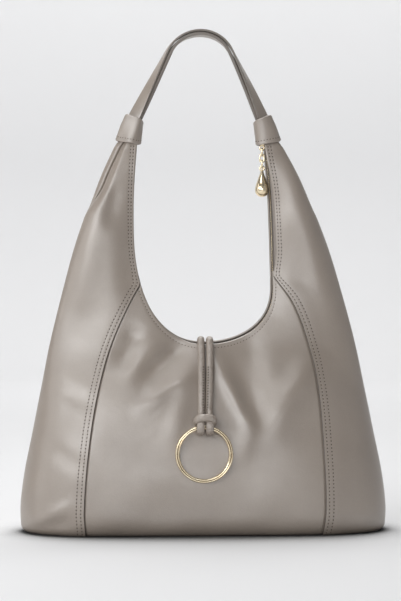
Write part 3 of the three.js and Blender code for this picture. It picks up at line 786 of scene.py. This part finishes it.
def sidePanel(which, name, node):
    foot = body["footHeight"] * (1 - np.cos(np.linspace(0, math.pi / 2, side["footRows"])))
    heights = np.concatenate([foot, np.linspace(body["footHeight"], body["neckTop"], side["rows"])[1:]])
    rounds = np.linspace(-1, 1, side["dense"])
    steps = np.array(lap["steps"])
    rows, fromEdge = [], []
    for z in heights:
        path = sideCurve(which, rounds, z)
        total = runOf(path)[-1]
        scale = lap["rimScale"] + (1 - lap["rimScale"]) * lappedAt(z)
        scale = min(scale, lap["mostShare"] * total / steps[-1])
        near = steps * scale
        middle = np.linspace(near[-1], total - near[-1], side["middle"])[1:-1]
        at = np.concatenate([near, middle, total - near[::-1]])
        rows.append(alongPath(path, at))
        fromEdge.append(np.minimum(at, total - at) / scale)
    grid, fromEdge = np.array(rows), np.array(fromEdge)
    core = np.stack([np.full(len(grid), which * side["insideX"]), np.zeros(len(grid)), heights], axis=1)
    outward = grid - core[:, None, :]
    normal = gridNormals(grid, outward)
    lapped = lappedAt(heights)[:, None]
    lift = lap["lift"] * lapped * (1 - smoothStep(fromEdge, *lap["liftEase"]))
    for k in lap["stitchSteps"]:
        lift = lift - lap["channel"] * bell(fromEdge - steps[k], lap["channelWidth"])
    grid = grid + normal * lift[..., None]
    grid[..., 2] = np.maximum(grid[..., 2], 0)  # the laps stop at the floor
    edge = np.exp(-fromEdge / lap["edgeFade"])
    thick = body["leather"] + edge * (rimRoll["roll"] * (1 - lapped) - lap["edgeThin"] * lapped)
    verts, faces, marks = shell(grid, gridNormals(grid, outward), thick)
    marks[(marks == 2) & (verts[faces[:, 0], 2] > lap["paintAndShadeTo"])] = 0  # only the lap edges are dark: edge paint that is also painted shade for the shadow line under the lap; the rim edges keep the leather colour
    makePiece(name, verts, faces, [taupe, suede, edgePaintAndShade], node, marks)
    sewn, last = slice(*side["sewnRows"]), grid.shape[1] - 1
    seams = [col for k in lap["stitchSteps"] for col in (k, last - k)]
    return [stitchRow(grid[sewn, col], normal[sewn, col], lap["pitch"]) for col in seams]


seamRows = sidePanel(-1, "side_leather_left", "side_panel_left")
seamRows += sidePanel(1, "side_leather_right", "side_panel_right")
print("side panels lapped")
sewRows("rim", rimRows)
sewRows("seam", seamRows)


# base: one flat panel inside the turned-under walls
base = {"columns": 90, "rows": 14, "inset": 0.8, "endInset": 6.0}


def basePanel():
    reach = halfWidthAt(0.0) - base["endInset"]
    x = reach * np.sin(np.linspace(-1, 1, base["columns"]) * math.pi / 2)
    zero = np.zeros_like(x)
    depth = wallDepth(x, zero, np.abs(x) / halfWidthAt(zero), False) - base["inset"]
    y = np.linspace(-1, 1, base["rows"])[:, None] * depth[None, :]
    grid = np.stack([np.broadcast_to(x, y.shape), y, np.zeros_like(y)], axis=-1)
    normal = np.broadcast_to(-zAxis, grid.shape)
    linedPiece("base_leather", "base_panel", grid, normal, np.full(y.shape, body["leather"]))


basePanel()
print("base laid")


# collars: leather sleeves over the neck and the strap's foot
collarRows = table(
    "height halfX halfWidth halfDepth tilt",
    (398.5, 72.1, 13, 9.7, 10),
    (413, 69, 11.8, 9.6, 16),
    (423.5, 66.3, 10.1, 9.6, 21),
)
collar = {
    "low": 398.5, "high": 423.5, "sides": 120, "rows": 26, "leather": 1.8, "deep": 0.75, "joint": 0.02,
    "roundLeft": 0.60, "roundRight": 0.85, "flare": 0.4, "flareFade": 2.2, "corner": 1.5, "cornerPower": 9,
    "turnLeft": (48.0, 18.0), "turnRight": (-8.0, -8.0),  # degrees at the lower and upper edge
    "stitchFrom": 2.7, "stitchEnds": 2, "pitch": 3.1, "stitchSize": 0.8,
}


def signedPower(values, power):
    return np.sign(values) * np.abs(values) ** power


def collarPanel(which, name, node):
    low, high, fade = collar["low"], collar["high"], collar["flareFade"]
    turns = np.linspace(0, 2 * math.pi, collar["sides"]) + math.pi / 2 + collar["joint"]  # joined at the rear
    hand = "Left" if which < 0 else "Right"
    wide = signedPower(np.cos(turns), collar["round" + hand])
    deep = collar["deep"] * signedPower(np.sin(turns), collar["round" + hand])
    middle = (low + high) / 2
    rows = []
    for z in np.linspace(low, high, collar["rows"]):
        turn = np.interp(z, (low, high), np.radians(collar["turn" + hand]))
        across = wide * math.cos(turn) + deep * math.sin(turn)
        depth = deep * math.cos(turn) - wide * math.sin(turn)
        flare = collar["flare"] * (np.exp(-(z - low) / fade) + np.exp(-(high - z) / fade))
        across = across / np.max(across)
        eased = (middle - z) / (middle - low) * collar["corner"] * np.abs(across) ** collar["cornerPower"]
        across = across * (column(collarRows, "halfWidth", z) + flare)
        depth = depth / np.max(depth) * (column(collarRows, "halfDepth", z) + flare)
        tilt = math.radians(column(collarRows, "tilt", z)) * which
        x = which * column(collarRows, "halfX", z) + across * math.cos(tilt) - body["lean"]
        rows.append(np.stack([x, depth, z + eased + across * math.sin(tilt)], axis=1))
    grid = np.array(rows)
    normal = gridNormals(grid, grid - grid.mean(axis=1, keepdims=True))
    linedPiece(name, node, grid, normal, np.full(grid.shape[:2], collar["leather"]))
    row = round(collar["stitchFrom"] * (collar["rows"] - 1) / (high - low))
    sewn = slice(collar["stitchEnds"], -collar["stitchEnds"])
    return stitchRow(grid[row, sewn], normal[row, sewn], collar["pitch"], collar["stitchSize"])


collarSewing = [collarPanel(-1, "collar_leather_left", "collar_left")]
collarSewing.append(collarPanel(1, "collar_leather_right", "collar_right"))
print("collars wrapped")
sewRows("collar", collarSewing)


# strap: two layers with painted edges, turned to the front down each leg
strap = {
    "width": 14.0, "outer": 2.2, "inner": 3.1, "gap": 0.85, "ease": 0.8, "cornerSteps": 5,
    "crown": 0.25, "crownAt": (3.5, 0, -3.5), "paintFrom": 0.75,
    "apex": 511.5, "legLean": 27.0, "bend": 33.5, "foot": 418.5, "steps": 150,
    "turnLeft": 66.0, "turnApex": -4.0, "turnRight": 59.0, "turnPower": 1.5, "sway": 3.2, "swayFrom": 0.35,
}


def strapPath():
    lean, bend = math.radians(strap["legLean"]), strap["bend"]
    top = strap["apex"] - bend
    start = top + bend * math.sin(lean)
    leg = (start - strap["foot"]) / math.cos(lean)
    total = 2 * leg + bend * (math.pi - 2 * lean)
    stations = []
    for distance in np.linspace(0, total, strap["steps"]):
        half = 1 if distance > total / 2 else -1
        fromFoot = min(distance, total - distance)
        angle = lean + max(fromFoot - leg, 0) / bend
        out = np.array([half * math.cos(angle), 0, math.sin(angle)])
        along = np.array([out[2], 0, -out[0]])
        place = out * bend + zAxis * top + half * along * max(leg - fromFoot, 0)
        share = distance / total
        end = strap["turnLeft"] if share < 0.5 else strap["turnRight"]
        turned = abs(2 * share - 1) ** strap["turnPower"]
        turn = math.radians(strap["turnApex"] + (end - strap["turnApex"]) * turned)
        face = out * math.cos(turn) - yAxis * math.sin(turn)
        swayed = max(share - strap["swayFrom"], 0) / (1 - strap["swayFrom"])
        shift = xAxis * (strap["sway"] * math.sin(math.pi * swayed) - body["lean"])
        stations.append((place + shift, face, unit(np.cross(along, face))))
    return stations


def strapLayer(name, node, low, thickness):
    half, ease, high = strap["width"] / 2, strap["ease"], low + thickness
    corner = [(math.cos(a), math.sin(a)) for a in np.linspace(0, math.pi / 2, strap["cornerSteps"])]
    outline = []
    for sx, sy, flip in ((1, 1, False), (-1, 1, True), (-1, -1, False), (1, -1, True)):
        middle = (high - ease) if sy > 0 else (low + ease)
        for c, s in (corner[::-1] if flip else corner):
            outline.append((sx * (half - ease + ease * c), middle + sy * ease * s))
        if sy > 0 and sx > 0:  # a soft crown over the face
            outline += [(w, high + strap["crown"] * (1 - (w / half) ** 2)) for w in strap["crownAt"]]
    rings = [[place + across * w + face * h for w, h in outline] for place, face, across in strapPath()]
    verts, faces = loft(rings)
    sideways = [abs(w) > half - ease * strap["paintFrom"] for w, _ in outline]
    marks = [int(len(f) == 4 and all(sideways[v % len(outline)] for v in f)) for f in faces]
    makePiece(name, verts, faces, [taupe, strapEdge], node, marks)


strapMiddle = (strap["inner"] - strap["outer"]) / 2
innerLow = strapMiddle - strap["gap"] / 2 - strap["inner"]
strapLayer("strap_leather_inner", "strap_inner", innerLow, strap["inner"])
strapLayer("strap_leather_outer", "strap_outer", strapMiddle + strap["gap"] / 2, strap["outer"])
print("strap bent over")


# zip: a woven tape inside each rim with a row of teeth along its edge
zipTape = {
    "width": 7.5, "thickness": 1.0, "inset": 1.2, "gap": 0.95, "top": 402.0, "start": 0.5, "reach": 0.97,
    "narrowing": 0.6, "narrowFrom": 345.0, "steps": 120, "rows": 5, "edgeRounds": 2,
    "toothPitch": 1.7, "toothLength": 0.9, "toothWidth": 1.3, "toothStep": 0.5,
    "toothRows": ((-0.2, 1.0), (0.42, 1.0), (0.7, 0.6)),  # height and share of the width
}


def tapeGrid(front):
    arm = np.linspace(0, 1, zipTape["steps"])[1:]
    start = scoop["bottom"] + zipTape["start"]
    rise = start + (zipTape["top"] - start) * arm ** 2
    left = np.stack([-rimAt(rise, -1), rise], axis=1)[::-1]
    right = np.stack([rimAt(rise, 1), rise], axis=1)
    walk = np.concatenate([left, [[0, scoop["bottom"]]], right])
    walk = alongPath(walk, np.linspace(0, runOf(walk)[-1], 2 * zipTape["steps"]))
    along = unit(np.gradient(walk, axis=0))
    narrow = 1 - zipTape["narrowing"] * smoothStep(walk[:, 1], zipTape["narrowFrom"], zipTape["top"])
    rows = []
    for up in np.linspace(0, 1, zipTape["rows"]):
        inset = zipTape["inset"] + up * zipTape["width"] * narrow
        x, z = walk[:, 0] + along[:, 1] * inset, walk[:, 1] - along[:, 0] * inset
        rows.append(wall(x, z, front, zipTape["reach"]))
    return np.array(rows)


def tapeStrip(front, name, node):
    grid = tapeGrid(front)
    normal = gridNormals(grid, -yAxis if front else yAxis)
    grid = grid - normal * (body["leather"] + zipTape["gap"])
    thick = np.full(grid.shape[:2], zipTape["thickness"])
    verts, faces, _ = shell(grid, normal, thick, zipTape["edgeRounds"])
    makePiece(name, verts, faces, [tapeWeave], node, slot="tape")
    edge = grid[0] - normal[0] * zipTape["thickness"]
    total, pitch, step = runOf(edge)[-1], zipTape["toothPitch"], zipTape["toothStep"]
    at = np.arange(pitch, total - pitch, pitch)
    along = unit(alongPath(edge, at + step) - alongPath(edge, at - step))
    inward = -sampled(normal[0], np.linspace(0, total, len(edge)), at)
    across = unit(np.cross(along, inward))
    teeth = []
    for p, a, n, s in zip(alongPath(edge, at), along, inward, across):
        a, s = a * zipTape["toothLength"] / 2, s * zipTape["toothWidth"] / 2
        square = np.array([-a - s, a - s, a + s, s - a])
        teeth.append(loft([p + n * up + square * share for up, share in zipTape["toothRows"]]))
    return teeth


teeth = tapeStrip(True, "zip_weave_front", "zip_tape_front")
teeth += tapeStrip(False, "zip_weave_back", "zip_tape_back")
makePiece("zip_teeth", *merged(teeth), [gold], slot="gold")
print("zip sewn in:", len(teeth), "teeth")


# zip pull: slider, three links and a pear drop
pull = {
    "x": 60.2, "firstLink": 389.1, "wire": 1.8, "linkHeight": 8.3, "linkWidth": 4.4, "eye": 2.3, "play": 0.3,
    "wireSides": 14, "linkSteps": 48, "linkEase": 6.0,
    "slider": (8.0, 4.0, 9.0), "sliderEase": 0.8, "sliderFromEye": 2.0, "cornerSteps": 5,
    "sliderEdge": ((0, 1), (0.3, 0.3), (1, 0)),  # up and inset, as shares of the ease
    "pearRows": 60, "pearSides": 40, "pearTip": 0.03,
}
pearRows = table(
    "height radius",
    (-29.6, 0.05),
    (-29.3, 2),
    (-28.2, 4.3),
    (-26.4, 6),
    (-24.4, 6.9),
    (-21, 7.1),
    (-17, 6.2),
    (-12.4, 4.6),
    (-8, 3),
    (-4.6, 1.9),
    (-2, 1.2),
)


def wireOval(halfWidth, halfHeight, turned):
    straight = halfHeight - halfWidth
    turns = around(pull["wireSides"])
    rings = []
    for angle in around(pull["linkSteps"]):
        out = np.array([math.cos(angle), 0, math.sin(angle)])
        lift = straight * np.clip(math.sin(angle) * pull["linkEase"], -1, 1)
        at = out * halfWidth + zAxis * lift
        ring = at + pull["wire"] / 2 * ovalRing(turns, out, yAxis)
        rings.append(ring[:, [1, 0, 2]] * np.array([1, -1, 1]) if turned else ring)
    return loft(rings, joined=True)


def pearDrop():
    shares = np.linspace(0, 1, pull["pearRows"])
    heights = np.interp(shares, np.linspace(0, 1, len(pearRows["height"])), pearRows["height"])
    rings = []
    for h in heights:
        r = max(column(pearRows, "radius", h), pull["pearTip"])
        rings.append(ovalRing(around(pull["pearSides"]), r * xAxis, r * yAxis) + h * zAxis)
    return loft(rings)


def sliderBox():
    width, depth, height = pull["slider"]
    ease = pull["sliderEase"]
    outline = []
    for k, (sx, sy) in enumerate(((1, 1), (-1, 1), (-1, -1), (1, -1))):
        x, y = sx * (width / 2 - ease), sy * (depth / 2 - ease)
        for a in np.linspace(0, math.pi / 2, pull["cornerSteps"]) + k * math.pi / 2:
            outline.append((x + ease * math.cos(a), y + ease * math.sin(a)))
    low = [(ease * up - height / 2, ease * inset) for up, inset in pull["sliderEdge"]]
    rings = []
    for h, inset in low + [(-h, inset) for h, inset in low[::-1]]:
        rings.append([(x * (1 - 2 * inset / width), y * (1 - 2 * inset / depth), h) for x, y in outline])
    return loft(rings)


# parts in their own frames, each with its place
def goldPiece(name, node, *parts):
    placed = [(np.asarray(verts) + place, faces) for (verts, faces), place in parts]
    makePiece(name, *merged(placed), [gold], node, slot="gold")


def zipPull():
    pitch = pull["linkHeight"] - pull["wire"] - pull["play"]
    eyeFromLink = pull["linkHeight"] / 2 + pull["eye"] - pull["wire"] - pull["play"]
    top = np.array([pull["x"], 0, pull["firstLink"]])
    eye = wireOval(pull["eye"], pull["eye"], False)
    high, low = top + zAxis * eyeFromLink, top - zAxis * (2 * pitch + eyeFromLink)
    width, _, height = pull["slider"]
    boxPlace = high + np.array([width / 4, 0, pull["sliderFromEye"] + height / 2])
    goldPiece("zip_slider_gold", "zip_slider", (eye, high), (sliderBox(), boxPlace))
    for n in (1, 2, 3):
        link = wireOval(pull["linkWidth"] / 2, pull["linkHeight"] / 2, n != 2)
        goldPiece("link_gold_" + str(n), "pull_link_" + str(n), (link, top - zAxis * (n - 1) * pitch))
    goldPiece("drop_gold", "pull_drop", (eye, low), (pearDrop(), low))


zipPull()
print("zip pull hung")


# cord: over the rim, down the front, hitched round the ring
cord = {
    "diameter": 6.6, "shift": 0.8, "clear": 1.0, "insideTop": 180.0, "insideEnd": 166.0,
    "belowRim": 1.5, "lift": 0.5, "rise": (126, 144, 162, 178), "overRim": (0, 45, 90, 135, 180),
    "topHalf": 3.75, "lowHalf": 3.6, "topSpacing": 8.9, "lowSpacing": 7.3,
    "sides": 24, "perStep": 10, "slopeStep": 0.5,
    "stitchTop": 168.0, "stitchSize": 1.2, "pitch": 2.8, "stitchAside": 0.42, "stitchAhead": 0.91,
}
hitchRoute = table(  # from the middle of the bight, lie 90 is upright and 0 is sideways
    "across forward up wide thin lie",
    (0, 7.6, 10.6, 3.8, 3.2, 90),
    (5.2, 7.0, 10.3, 3.8, 3.2, 90),
    (8.5, 4.2, 8.2, 3.7, 3.0, 90),
    (9.6, -0.4, 6.5, 3.2, 2.5, 80),
    (8.2, -4.4, 3.8, 3.0, 2.4, 50),
    (6.2, -5.8, 1.4, 3.2, 2.4, 20),
    (4.7, -5.2, -2.5, 3.6, 2.3, 0),
    (4.6, 0, -5.1, 3.6, 2.2, 0),
    (4.6, 5.0, -2.7, 3.9, 2.3, 0),
    (4.6, 5.9, 2.1, 4.1, 2.4, 0),
    (4.5, 4.1, 6.6, 3.8, 2.6, 0),
    (4.3, -0.2, 11, 3.3, 2.9, 0),
)
hinge = np.array(frame["joints"][0]["pos_m"]) / mm


def frontNormal(x, z):
    step = cord["slopeStep"]
    acrossSlope = wall(x + step, z, True) - wall(x - step, z, True)
    upSlope = wall(x, z + step, True) - wall(x, z - step, True)
    return unit(np.cross(acrossSlope, upSlope))


def onFront(x, z, out):
    return wall(x, z, True) + frontNormal(x, z) * out


# one side of the cord as stops: place, wide half, thin half and lie
def cordSide(which):
    outside = cord["diameter"] / 2 + cord["clear"]
    inside = -(body["leather"] + zipTape["gap"] + zipTape["thickness"]) - outside
    stops = []
    for across, forward, up, wide, thin, lie in zip(*hitchRoute.values()):
        place = hinge + np.array([which * across + cord["shift"], -forward, up])
        lie = math.radians(lie)
        stops.append((*place, wide, thin, which * math.cos(lie), 0, math.sin(lie)))
    lowDrift = hinge[0] - leanAt(hinge[2])
    for z in cord["rise"]:
        up = (z - hinge[2]) / (scoop["bottom"] - hinge[2])
        spacing = cord["lowSpacing"] + (cord["topSpacing"] - cord["lowSpacing"]) * up
        half = cord["lowHalf"] + (cord["topHalf"] - cord["lowHalf"]) * up
        x = which * spacing / 2 + lowDrift * (1 - up) + cord["shift"]
        slope = unit(frontNormal(x, z) * np.array([0, 1.0, 1.0]))
        stops.append((*(wall(x, z, True) + slope * outside), half, half, which, 0, 0))
    x, half = which * cord["topSpacing"] / 2 + cord["shift"], cord["topHalf"]
    rim = scoop["bottom"] - cord["belowRim"]
    upwards = np.cross(frontNormal(x, rim), xAxis)
    crown, bend = (outside + inside) / 2, (outside - inside) / 2
    places = []
    for angle in np.radians(cord["overRim"]):
        over = upwards * (bend * math.sin(angle) + cord["lift"])
        places.append(onFront(x, rim, crown + bend * math.cos(angle)) + over)
    places += [onFront(x, z, inside) for z in (cord["insideTop"], cord["insideEnd"])]
    return stops + [(*place, half, half, which, 0, 0) for place in places]


def cordPiece():
    fine = catmull(cordSide(-1)[1:][::-1] + cordSide(1), cord["perStep"])
    verts, faces = ovalCord(fine[:, :3], fine[:, 3], fine[:, 4], fine[:, 5:8], cord["sides"])
    makePiece("cord_leather", verts, faces, [cordTaupe], "cord_loop")
    first, count = len(hitchRoute["across"]) - 1, len(cord["rise"]) + 1
    sewing = []
    for which in (-1, 1):
        strand = catmull(cordSide(which)[first:first + count], cord["perStep"])
        strand = strand[strand[:, 2] < cord["stitchTop"]]
        towards = np.array([-which * cord["stitchAside"], -cord["stitchAhead"], 0])
        tangent = unit(np.gradient(strand[:, :3], axis=0))
        normals = unit(towards - tangent * (tangent @ towards)[:, None])
        row = strand[:, :3] + normals * strand[:, 3:4]
        sewing.append(stitchRow(row, normals, cord["pitch"], cord["stitchSize"]))
    return sewing


cordSewing = cordPiece()
print("cord hitched")
sewRows("cord", cordSewing)


# ring: polished wire with a fine groove round its face, the groove's faces dark gold as painted shade
ring = {
    "outer": 57.7, "wire": 4.2, "steps": 180, "sides": 48,
    "groove": 0.6, "grooveWidth": 0.33, "grooveShade": 0.34,
}


def ringPiece():
    low, high = (np.array(corner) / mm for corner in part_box("ring"))
    radius = (ring["outer"] - ring["wire"]) / 2
    middle = (low + high) / 2
    tilt = math.atan2(hinge[1] - middle[1], hinge[2] - middle[2])
    up = np.array([0, math.sin(tilt), math.cos(tilt)])
    facing = np.cross(xAxis, up)
    turns = around(ring["sides"])
    fromFace = np.abs(np.abs(turns - math.pi) - math.pi / 2)  # turned away from the front or rear face
    half = (ring["wire"] / 2 - ring["groove"] * bell(fromFace, ring["grooveWidth"]))[:, None]
    rings = []
    for angle in around(ring["steps"]):
        out = xAxis * math.cos(angle) + up * math.sin(angle)
        rings.append(middle + out * radius + half * ovalRing(turns, out, facing))
    verts, faces = loft(rings, joined=True)
    shaded = fromFace < ring["grooveShade"]
    marks = [shaded[face[0] % ring["sides"]] and shaded[face[1] % ring["sides"]] for face in faces]
    makePiece("ring_gold", verts, faces, [gold, goldGrooveShade], "ring", marks, "gold", "ring")


ringPiece()
print("ring hung")


# studio sweep: a round pale floor that bends up into the wall on every side
def sweepPiece():
    bend, radius = studio["bendStart"], studio["bendRadius"]
    profile = [(bend * share, 0.0) for share in studio["floorRings"]]
    for a in np.linspace(0, math.pi / 2, studio["bendSteps"]):
        profile.append((bend + radius * math.sin(a), radius * (1 - math.cos(a))))
    profile.append((bend + radius, studio["wallTop"]))
    circle = ovalRing(around(studio["sides"]), xAxis, yAxis)
    verts, faces = loft([circle * r + zAxis * z for r, z in profile])
    faces = [face[::-1] for face in faces if len(face) == 4]  # the wall faces the bag
    faces.append(list(range(studio["sides"])))
    sweep = newObject("studio_sweep", verts, faces, [sweepMaterial("sweepPaper", studio)])


sweepPiece()
print("studio swept")
